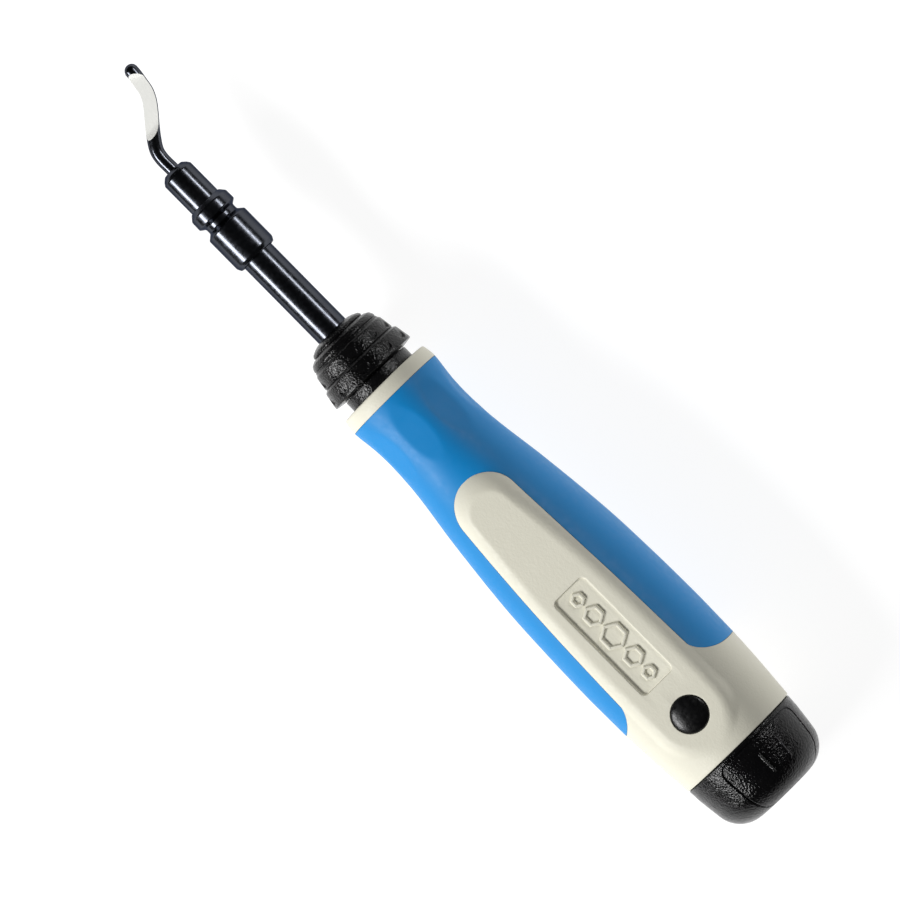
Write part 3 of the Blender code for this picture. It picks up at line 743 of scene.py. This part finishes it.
def grip_rear(height, gap):
    """Station of the soft grip's rear edge at a height."""
    share = min(abs(height) / GRIP_HEIGHT, 1.0)
    forward = 1 - (1 - share ** GRIP_SQUARE) ** GRIP_TURN
    return GRIP_SIDE - gap - (GRIP_SIDE - GRIP_CORNER) * forward


def evenly(start, end, count):
    return [start + (end - start) * step / count for step in range(count)]


def handle_stations(gap):
    """Stations of the skin, closest together round the pad's front end."""
    stations = evenly(NOSE + gap, 8.0, 6) + evenly(8.0, PAD_TIP - 0.6, 26)
    for step in range(20):
        angle = math.radians(6 + 84 * step / 20)
        stations.append(PAD_FULL - PAD_EDGE[0][1] * math.cos(angle))
    return stations + evenly(PAD_FULL, 82.0, 50)


def surface_row(station, gap):
    return [(station, y, z) for y, z in whole_section(quarter_section(station, gap))]


def bent_row(gap):
    """The last row of the soft grip: square at the sides, rounded next to the pads."""
    row = []
    for index, (_, _, height) in enumerate(surface_row(88.0, gap)):
        station = grip_rear(height, gap)
        row.append(surface_row(station, gap)[index])
    return row


def dimple(station, turn):
    """Depth of the finger dimples round the waist."""
    pitch = math.pi / 4
    local = (turn + pitch / 2) % pitch - pitch / 2
    reach = math.hypot((station - DIMPLE_AT) / DIMPLE_LONG, local * WAIST / DIMPLE_WIDE)
    return DIMPLE_DEPTH * max(1 - reach ** 2, 0.0)


def inset(point, depth):
    """Moves a point towards the tool's axis."""
    station, y, z = point
    share = 1 - depth / math.hypot(y, z)
    return (station, y * share, z * share)


def is_grip(row, cell, rows_before, pad_row, last):
    """Whether a cell of the handle's skin is blue: all but the nose, the pads and the rear."""
    if row < rows_before or row >= last:
        return False
    from_crown = cell % (2 * QUARTER)
    on_pad = from_crown < PAD_LINES or from_crown >= 2 * QUARTER - PAD_LINES
    return not (on_pad and row >= pad_row)


def skin(rings, keep, depth, capped):
    """A skin over grid cells.  Cells that are kept lie on the rings; the others lie
    `depth` lower if the skin is capped, or are open above an inner skin if it isn't."""
    sides = len(rings[0])
    points = []
    lookup = {}
    faces = []

    def corner(row, step, low):
        key = (row, step % sides, low)
        if key not in lookup:
            lookup[key] = len(points)
            point = rings[row][step % sides]
            points.append(inset(point, depth) if low else point)
        return lookup[key]

    def cell(row, step, low):
        faces.append([corner(row, step, low), corner(row, step + 1, low),
                      corner(row + 1, step + 1, low), corner(row + 1, step, low)])

    def wall(first, second):
        faces.append([corner(*first, False), corner(*second, False),
                      corner(*second, True), corner(*first, True)])

    rows = len(rings) - 1
    for row in range(rows):
        for step in range(sides):
            kept = keep(row, step)
            if kept:
                cell(row, step, False)
            if kept != capped:
                cell(row, step, True)
            if kept and not keep(row, (step + 1) % sides):
                wall((row, step + 1), (row + 1, step + 1))
            if kept and not keep(row, (step - 1) % sides):
                wall((row, step), (row + 1, step))
            if kept and row > 0 and not keep(row - 1, step):
                wall((row, step), (row, step + 1))
            if kept and row < rows - 1 and not keep(row + 1, step):
                wall((row + 1, step), (row + 1, step + 1))
            if kept and not capped and row == rows - 1:
                wall((row + 1, step), (row + 1, step + 1))
    if capped:
        faces.append([corner(0, step, False) for step in range(sides)])
        faces.append([corner(rows, step, False) for step in range(sides)])
    return points, faces


def rounded_outline(start, end, half_width, corner, grow):
    """Corners of a rounded rectangle, pushed out by `grow`."""
    middle = (start + end) / 2
    half_length = (end - start) / 2
    outline = []
    for turn, (sx, sy) in enumerate(((1, 1), (-1, 1), (-1, -1), (1, -1))):
        centre = (middle + sx * (half_length - corner), sy * (half_width - corner))
        outline += arc(centre, corner + grow, 90 * turn, 90 * turn + 90, 8)
    return outline


RECESS = (59.7, 87.8, 4.55, 1.3)    # front, rear, half width and corner
RECESS_FLOOR = PAD_HEIGHT - 0.7


def recess_cutter():
    """The badge recess, with a rounded lip and a rounded foot."""
    foot = [(-0.28, RECESS_FLOOR), (-0.1, RECESS_FLOOR + 0.06), (0.0, RECESS_FLOOR + 0.22),
            (0.0, PAD_HEIGHT - 0.22), (0.07, PAD_HEIGHT - 0.09), (0.2, PAD_HEIGHT - 0.015),
            (0.3, PAD_HEIGHT + 0.01), (0.3, PAD_HEIGHT + 2)]
    rings = []
    for grow, height in foot:
        rings.append([(x, y, height) for x, y in rounded_outline(*RECESS, grow)])
    return through_rings(rings)


def build_core():
    """The grey moulding: bare at the nose, pads and rear, recessed under the grip."""
    nose = ((0.0, 0.45), (0.08, 0.2), (0.25, 0.06), (0.6, 0.0), (1.3, 0.0), (2.0, 0.0), (2.7, 0.0))
    end = ((SEAM - 0.3, 0.0), (SEAM - 0.12, 0.05), (SEAM - 0.05, 0.2))
    middle = handle_stations(-GAP)
    rear = evenly(93.0, 104.0, 24) + evenly(104.0, SEAM - 0.35, 14)
    rings = [[inset(point, drop) for point in surface_row(station, -GAP)] for station, drop in nose]
    rings += [surface_row(station, -GAP) for station in middle]
    rings.append(bent_row(-GAP))
    rings += [surface_row(station, -GAP) for station in rear]
    rings += [[inset(point, drop) for point in surface_row(station, -GAP)] for station, drop in end]
    pad_row = len(nose) + len([station for station in middle if station < PAD_TIP])
    last = len(nose) + len(middle)

    def keep(row, cell):
        return not is_grip(row, cell, len(nose), pad_row, last)

    item = add_mesh("grey_handle", *skin(rings, keep, SKIN, True), [GREY])
    bore = [(-1, 0), (-1, 8.05), (12.3, 8.05), (12.3, 6.6), (54, 6.6), (54, 0)]
    bay = [(57, 0), (57, 11.0), (SEAM + 2, 11.0), (SEAM + 2, 0)]
    well = [(6.0, 0), (6.0, 1.95), (12.2, 1.95), (12.2, 4.3), (PAD_HEIGHT - 0.1, 4.3),
            (PAD_HEIGHT - 0.02, 4.36), (PAD_HEIGHT + 0.01, 4.44), (PAD_HEIGHT + 3, 4.44),
            (PAD_HEIGHT + 3, 0)]
    cut(item, "front_bore", revolve(bore, 96))
    cut(item, "rear_bay", revolve(bay, 128))
    cut(item, "button_well", revolve(well, 96, upright=BUTTON_AT))
    cut(item, "badge_recess", recess_cutter())
    item.data.shade_smooth()
    item.data.set_sharp_from_angle(angle=math.radians(35))
    stand_in(item, "handle", "grey_shell", "handle_core")


def build_grip():
    """The blue skin, with its dimples."""
    stations = handle_stations(GAP)
    rings = []
    for station in stations:
        ring = []
        for point in surface_row(station, GAP):
            turn = math.atan2(point[1], point[2])
            ring.append(inset(point, dimple(station, turn)))
        rings.append(ring)
    rings.append(bent_row(GAP))
    pad_row = len([station for station in stations if station < PAD_TIP])

    def keep(row, cell):
        return is_grip(row, cell, 0, pad_row, len(stations))

    item = add_mesh("blue_grip", *skin(rings, keep, SKIN * 0.8, False), [BLUE])
    stand_in(item, "handle", "blue_grip", "grip_overmould")


HEXAGONS = ((-10.9, 1.8), (-6.1, 2.5), (0.0, 3.2), (6.1, 2.5), (10.9, 1.8))   # place, radius
HEXAGON_CORNER = 0.45


def hexagon(centre, radius, grow):
    """Outline of a hexagon with rounded corners, pushed out by `grow`."""
    outline = []
    for turn in range(0, 360, 60):
        reach = radius - HEXAGON_CORNER / math.cos(math.radians(30))
        angle = math.radians(turn)
        middle = (centre + reach * math.cos(angle), reach * math.sin(angle))
        outline += arc(middle, HEXAGON_CORNER + grow, turn - 30, turn + 30, 4)
    return outline


def closed_loop(rings):
    """Rings joined one to the next and the last to the first."""
    points = [point for ring in rings for point in ring]
    sides = len(rings[0])
    faces = []
    for row in range(len(rings)):
        following = (row + 1) % len(rings)
        for step in range(sides):
            after = (step + 1) % sides
            faces.append([row * sides + step, row * sides + after,
                          following * sides + after, following * sides + step])
    return points, faces


def build_badge():
    """A plain row of raised hexagon rings on the recess floor."""
    top = PAD_HEIGHT - 0.15
    middle = (RECESS[0] + RECESS[1]) / 2
    foot = RECESS_FLOOR - 0.1
    section = ((0.12, foot), (0.1, RECESS_FLOOR + 0.04), (-0.1, top - 0.05), (-0.18, top),
               (-0.55, top), (-0.63, top - 0.05), (-0.83, RECESS_FLOOR + 0.04), (-0.85, foot))
    for index, (offset, size) in enumerate(HEXAGONS):
        rings = [[(x, y, height) for x, y in hexagon(middle + offset, size, grow)]
                 for grow, height in section]
        item = add_mesh("badge_hexagon_%d" % index, *closed_loop(rings), [GREY])
        stand_in(item, "handle", "grey_shell")


# ------------------------------------------------------------------ button

def build_button():
    """Domed button with its stem and the groove for its clip."""
    rim = 4.2
    low = PAD_HEIGHT - 0.7
    dome = [(BUTTON_TOP - 1.15, rim), (BUTTON_TOP - 0.85, 3.9), (BUTTON_TOP - 0.47, 3.0),
            (BUTTON_TOP - 0.17, 1.8), (BUTTON_TOP, 0)]
    stem = [(8.8, 0), (8.8, 1.4), (9.1, 1.7), (9.9, 1.7), (9.9, 1.2), (10.5, 1.2), (10.5, 1.7),
            (low, 1.7)]
    profile = finer(soften(stem + [(low, rim)] + dome, 0.45, 5), 0.6)
    solid = revolve(profile, TURNED_SIDES, upright=BUTTON_AT)
    item = add_mesh("push_button", *solid, [BUTTON_BLACK], sharp=55)
    stand_in(item, "button", "button_black", "button")


# ------------------------------------------------------------------ springs

SLEEVE_WIRE = 0.25      # radius of the spring's wire
SLEEVE_COILS = 4.5
BUTTON_WIRE = 0.16
BUTTON_COILS = 2.5
COIL_STEPS = 40
COIL_SIDES = 14


def coil(start, end, radius, wire, turns, upright=None):
    """Spring of round wire from start to end, along the axis or upright at a station."""
    steps = int(turns * COIL_STEPS)
    rings = []
    for step in range(steps + 1):
        turn = 2 * math.pi * turns * step / steps
        middle = start + wire + (end - start - 2 * wire) * step / steps
        ring = []
        for corner in range(COIL_SIDES):
            angle = 2 * math.pi * corner / COIL_SIDES
            reach = radius + wire * math.cos(angle)
            level = middle + wire * math.sin(angle)
            first, second = reach * math.cos(turn), reach * math.sin(turn)
            if upright is None:
                ring.append((level, first, second))
            else:
                ring.append((upright + first, second, level))
        rings.append(ring)
    return through_rings(rings)


def build_springs():
    """Coil springs of round wire, each filling its plain spring node's length and riding on a body.
    """
    low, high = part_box("sleeve_spring")
    start, end = station_of(low[0]), station_of(high[0])
    radius = high[1] / MM - SLEEVE_WIRE
    item = add_mesh("sleeve_coil", *coil(start, end, radius, SLEEVE_WIRE, SLEEVE_COILS), [BRIGHT])
    item.data.shade_smooth()
    stand_in(item, "extension", "bright_steel", "sleeve_spring")
    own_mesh(item)
    low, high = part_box("button_spring")
    start, end = (low[2] - AXIS_Z) / MM, (high[2] - AXIS_Z) / MM
    radius = high[1] / MM - BUTTON_WIRE
    solid = coil(start, end, radius, BUTTON_WIRE, BUTTON_COILS, BUTTON_AT)
    item = add_mesh("button_coil", *solid, [BRIGHT])
    item.data.shade_smooth()
    stand_in(item, "handle", "bright_steel", "button_spring")
    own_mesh(item)


# ------------------------------------------------------------------ cap

PANEL_HALF = math.radians(46.5)
PANEL_START = 1.2       # from the seam, measured along the surface
PANEL_REST = 8.6        # from the panel's end to the middle of the cap's end
PANEL_CORNER = 2.4
GROOVE_DEPTH = 0.3
GROOVE_EDGE = (0.06, 0.26)
RIB_TURN = math.radians(10.4)
RIB_AT = 116.35
RIB_HALF_LENGTH = 2.55
RIB_HEIGHT = 0.3
RIB_EDGE = (0.06, 0.3)
CAP_SIDES = 600


def cap_profile():
    """The cap's outside from the seam to the middle of its end, as (station, radius)."""
    side = [(SEAM + 0.12, CAP - 0.22), (SEAM + 0.3, CAP), (112.4, 14.78), (115.3, 14.45)]
    corner = arc((117.1, 7.1), 7.04, 80, 3, 26)
    return finer(soften(side, 0.15, 3) + corner + [(END, 6.6), (END, 0)], 0.13)


def panel_offset(along, station, turn, end):
    """Groove round each grip panel and the two ribs on it; `along` is measured from the
    seam along the surface, and the panel runs to `end`."""
    local = (turn - CAP_TURN + math.pi / 2) % math.pi - math.pi / 2
    middle = (PANEL_START + end) / 2
    dx = abs(along - middle) - ((end - PANEL_START) / 2 - PANEL_CORNER)
    dy = abs(local) * CAP - (PANEL_HALF * CAP - PANEL_CORNER)
    if dx > 0 and dy > 0:
        away = math.hypot(dx, dy) - PANEL_CORNER
    else:
        away = max(dx, dy) - PANEL_CORNER
    groove = -GROOVE_DEPTH * (1 - ramp(abs(away), *GROOVE_EDGE))
    rib = 0.0
    for sign in (-1, 1):
        side = abs(local - sign * RIB_TURN) * CAP
        ends = abs(station - RIB_AT) - RIB_HALF_LENGTH
        lift = (1 - ramp(side, *RIB_EDGE)) * (1 - ramp(ends, -0.3, 0.3))
        rib = max(rib, RIB_HEIGHT * lift)
    return groove + rib


def build_cap():
    """Hollow cap with two grip panels and a boss round its screw."""
    outer = cap_profile()
    reaches = [0.0]
    for near, far in zip(outer, outer[1:]):
        reaches.append(reaches[-1] + math.dist(near, far))
    end = reaches[-1] - PANEL_REST
    inside = [(SEAM + 0.12, 12.9), (118.5, 11.9), (121.5, 8.0), (121.5, 3.2), (109.4, 3.2),
              (109.4, 1.66), (119.0, 1.66), (119.0, 0)]
    profile = outer[::-1] + inside
    count = len(outer)

    def press(row, station, turn):
        if row >= count:
            return 0.0
        return panel_offset(reaches[count - 1 - row], station, turn, end)

    item = add_mesh("panelled_cap", *revolve(profile, CAP_SIDES, press), [CAP_BLACK], sharp=60)
    stand_in(item, "cap", "cap_black", "end_cap")


# ------------------------------------------------------------------ pieces left as they are

KEPT = {"lock_ball_left": BRIGHT, "lock_ball_right": BRIGHT, "rod_stop": BRASS,
        "collet": BRASS, "nose_seal": RUBBER, "cap_seal": RUBBER,
        "button_retainer": BRIGHT, "magazine_tray": NUT_BLACK, "cap_screw": BRIGHT,
        "cap_washer": BRIGHT}


def dress_kept_nodes():
    for name, look in KEPT.items():
        item = bpy.data.objects[name]
        if not item.material_slots:
            item.data.materials.append(look)
        for slot in item.material_slots:
            slot.material = look


# ------------------------------------------------------------------ stage, light and camera

FLOOR_HALF = 15.0       # metres, as are the distances below
FLOOR_DROP = 0.0004
LEAN_SIDE = math.radians(11.9)
LEAN_REAR = math.radians(1.2)
ROLL = math.radians(45.4)
TARGET = place(20.3, 0.1, 0.0)
DISTANCE = 1.7
LENS = 313.6
KEY_POWER = 5.65
STRIP_POWER = 1.75
FLOOR_GLOW = 0.9
WORLD_GLOW = 0.03


def view_axes():
    """Directions from the target to the camera, and along and across the tool in the view."""
    towards = Vector((math.sin(LEAN_REAR), math.sin(LEAN_SIDE), 1.0))
    towards.z = math.sqrt(1 - towards.x ** 2 - towards.y ** 2)
    along = (Vector((1, 0, 0)) - towards * towards.x).normalized()
    across = along.cross(towards)
    return towards, along, across


def build_camera():
    towards, along, across = view_axes()
    right = math.cos(ROLL) * along - math.sin(ROLL) * across
    up = -(math.sin(ROLL) * along + math.cos(ROLL) * across)
    data = bpy.data.cameras.new("camera")
    data.lens = LENS
    data.sensor_width = 36.0
    data.clip_end = 20.0
    item = bpy.data.objects.new("camera", data)
    bpy.context.collection.objects.link(item)
    turn = Matrix((right, up, towards)).transposed().to_4x4()
    item.matrix_world = Matrix.Translation(TARGET + towards * DISTANCE) @ turn
    bpy.context.scene.camera = item


def softbox(name, angle, distance, width, length, power, shift):
    """A long lamp beside the tool, `angle` degrees round from the camera's side."""
    towards, along, across = view_axes()
    turn = math.radians(angle)
    out = math.cos(turn) * towards + math.sin(turn) * across
    data = bpy.data.lights.new(name, "AREA")
    data.shape = "RECTANGLE"
    data.size = length
    data.size_y = width
    data.energy = power
    item = bpy.data.objects.new(name, data)
    bpy.context.collection.objects.link(item)
    side = out.cross(along)
    axes = Matrix((along, side, out)).transposed().to_4x4()
    item.matrix_world = Matrix.Translation(TARGET + out * distance + along * shift) @ axes


def build_stage():
    """A pale floor just under the tool, and an even dim surround."""
    shape = bmesh.new()
    bmesh.ops.create_grid(shape, x_segments=1, y_segments=1, size=FLOOR_HALF)
    mesh = bpy.data.meshes.new("floor")
    shape.to_mesh(mesh)
    shape.free()
    floor = bpy.data.objects.new("floor", mesh)
    floor.location = (0, 0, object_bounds()[0][2] - FLOOR_DROP)
    bpy.context.collection.objects.link(floor)
    made = Nodes("pale_floor")
    made.set(Roughness=0.9, Emission_Color=(1.0, 1.0, 1.0, 1.0), Emission_Strength=FLOOR_GLOW)
    made.to("Base Color", made.tint(made.noise(90.0, 3.0), (0.21, 0.21, 0.21), (0.24, 0.24, 0.24)))
    mesh.materials.append(made.material)
    world = bpy.data.worlds.new("studio")
    world.use_nodes = True
    background = world.node_tree.nodes["Background"]
    background.inputs["Color"].default_value = (1.0, 1.0, 1.0, 1.0)
    background.inputs["Strength"].default_value = WORLD_GLOW
    bpy.context.scene.world = world
    bpy.context.scene.view_settings.view_transform = "Standard"


def build_lights():
    softbox("key", 64.0, 0.65, 0.16, 0.5, KEY_POWER, -0.02)
    softbox("strip", -49.0, 0.75, 0.11, 0.32, STRIP_POWER, -0.06)


def main():
    build_blades()
    build_holder()
    build_sleeve()
    build_rod()
    build_nut()
    build_seat()
    build_core()
    build_grip()
    build_badge()
    build_button()
    build_springs()
    build_cap()
    dress_kept_nodes()
    build_stage()
    build_lights()
    build_camera()


main()
